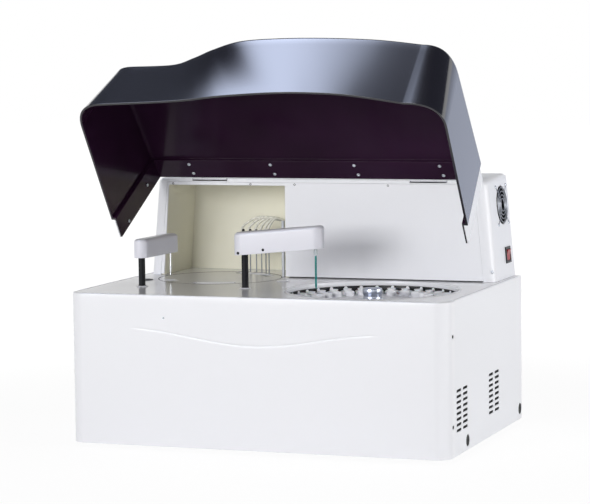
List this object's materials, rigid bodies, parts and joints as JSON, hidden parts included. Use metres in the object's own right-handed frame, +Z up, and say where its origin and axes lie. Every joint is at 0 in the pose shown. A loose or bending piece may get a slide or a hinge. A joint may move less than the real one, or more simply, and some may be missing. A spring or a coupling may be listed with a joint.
{
  "type": "benchtop chemistry analyzer",
  "caption": "Free-standing lab bench analyzer with an open tinted lid, a reagent disc, a gear-driven cuvette ring, a probe arm, a mixer arm and a wash station.",
  "frame": {"origin": "on the bench, midway between the cabinet's sides and between its front and rear, under the feet", "axes": "+X to the operator's right, +Y towards the rear, +Z up"},
  "size_m": [0.72, 0.495, 0.7402],
  "materials": {
    "white_paint": "satin powder coat",
    "white_plastic": "smooth moulded, semi-gloss",
    "cream_lining": "satin paint",
    "smoked_plastic": "polished, smoked violet",
    "black_plastic": "fine matte",
    "rubber": "matte",
    "steel": "brushed",
    "chrome": "bright plated",
    "bottle_white": "moulded",
    "clear_plastic": "clear",
    "teal_coat": "thin satin coat on steel",
    "red_plastic": "gloss",
    "board": "solder-resist lacquer",
    "brass": "machined",
    "cast": "die cast"
  },
  "bodies": {
    "cabinet": {"base_tray": "steel", "front_cover": "white_plastic", "side_panel_right": "white_paint", "side_panel_left": "white_paint", "rear_panel": "white_paint", "power_inlet": "black_plastic", "deck_plate": "white_paint", "foot_front_left": "rubber", "foot_front_right": "rubber", "foot_rear_left": "rubber", "foot_rear_right": "rubber", "power_supply": "cast", "control_board": "board", "tower_shell": "white_paint", "tower_front_panel": "white_paint", "recess_liner": "cream_lining", "hinge_bracket_left": "steel", "hinge_bracket_right": "steel", "reagent_pot": "black_plastic", "disc_motor": "black_plastic", "incubator_trough": "cast", "reaction_cover": "white_paint", "reaction_stand": "cast", "reaction_motor": "black_plastic", "photometer": "black_plastic", "probe_frame": "steel", "probe_guide": "black_plastic", "mixer_frame": "steel", "mixer_guide": "black_plastic", "probe_rinse_pot": "black_plastic", "mixer_rinse_pot": "black_plastic", "wash_post": "chrome", "fan_frame": "black_plastic", "fan_guard": "chrome", "switch_bezel": "black_plastic", "syringe_block": "cast", "wash_pump": "black_plastic"},
    "lid": {"lid_shell": "smoked_plastic", "lid_frame": "white_paint"},
    "reagent_disc": {"disc_tray": "bottle_white", "cup_rack": "bottle_white", "disc_knob": "steel"},
    "reaction_disc": {"cuvette_ring": "clear_plastic", "reaction_gear": "brass"},
    "pinion": {"reaction_pinion": "brass"},
    "probe_lifter": {"probe_carriage": "cast"},
    "probe_head": {"probe_column": "steel", "probe_arm": "cast", "probe_cover": "white_plastic", "probe_needle": "teal_coat"},
    "mixer_lifter": {"mixer_carriage": "cast"},
    "mixer_head": {"mixer_arm": "cast", "mixer_cover": "white_plastic"},
    "paddle": {"mixer_paddle": "steel"},
    "washer": {"wash_head": "cast", "wash_tubes": "clear_plastic"},
    "fan": {"fan_rotor": "black_plastic"},
    "switch_rocker": {"rocker": "red_plastic"},
    "plunger": {"syringe_plunger": "steel"},
    "pump_wheel": {"pump_rotor": "cast"}
  },
  "joints": [
    {"name": "lid_hinge", "type": "hinge", "parent": "cabinet", "child": "lid", "pos_m": [0, 0.1046, 0.4729], "axis": [1, 0, 0], "range_deg": [0, 55]},
    {"name": "reagent_disc_spin", "type": "hinge", "parent": "cabinet", "child": "reagent_disc", "pos_m": [0.167, -0.075, 0.2], "axis": [0, 0, 1], "continuous": true},
    {"name": "reaction_disc_spin", "type": "hinge", "parent": "cabinet", "child": "reaction_disc", "pos_m": [-0.188, 0.07, 0.25], "axis": [0, 0, 1], "continuous": true},
    {"name": "pinion_spin", "type": "hinge", "parent": "cabinet", "child": "pinion", "pos_m": [-0.21925, 0.01587, 0.243], "axis": [0, 0, 1], "continuous": true},
    {"name": "probe_lift", "type": "slide", "parent": "cabinet", "child": "probe_lifter", "axis": [0, 0, 1], "range_m": [-0.04, 0.012]},
    {"name": "probe_turn", "type": "hinge", "parent": "probe_lifter", "child": "probe_head", "pos_m": [-0.069, -0.104, 0.25], "axis": [0, 0, 1], "range_deg": [-27.46, 143.95]},
    {"name": "mixer_lift", "type": "slide", "parent": "cabinet", "child": "mixer_lifter", "axis": [0, 0, 1], "range_m": [-0.038, 0.01]},
    {"name": "mixer_turn", "type": "hinge", "parent": "mixer_lifter", "child": "mixer_head", "pos_m": [-0.27, -0.116, 0.25], "axis": [0, 0, 1], "range_deg": [0, 22]},
    {"name": "paddle_spin", "type": "hinge", "parent": "mixer_head", "child": "paddle", "pos_m": [-0.26464, 0.00733, 0.31], "axis": [0, 0, 1], "continuous": true},
    {"name": "wash_lift", "type": "slide", "parent": "cabinet", "child": "washer", "axis": [0, 0, 1], "range_m": [-0.038, 0.008], "deforming": ["wash_tubes"]},
    {"name": "fan_spin", "type": "hinge", "parent": "cabinet", "child": "fan", "pos_m": [0.33552, 0.199, 0.421], "axis": [0.9959, 0, 0.0901], "continuous": true},
    {"name": "rocker_tilt", "type": "hinge", "parent": "cabinet", "child": "switch_rocker", "pos_m": [0.34411, 0.215, 0.326], "axis": [0, 1, 0], "range_deg": [-18, 0]},
    {"name": "plunger_travel", "type": "slide", "parent": "cabinet", "child": "plunger", "axis": [0, 0, 1], "range_m": [-0.034, 0]},
    {"name": "pump_spin", "type": "hinge", "parent": "cabinet", "child": "pump_wheel", "pos_m": [0.19, 0.16, 0.3123], "axis": [0, 1, 0], "continuous": true}
  ],
  "couplings": [
    {"joint": "pinion_spin", "follows": "reaction_disc_spin", "ratio": -4}
  ]
}
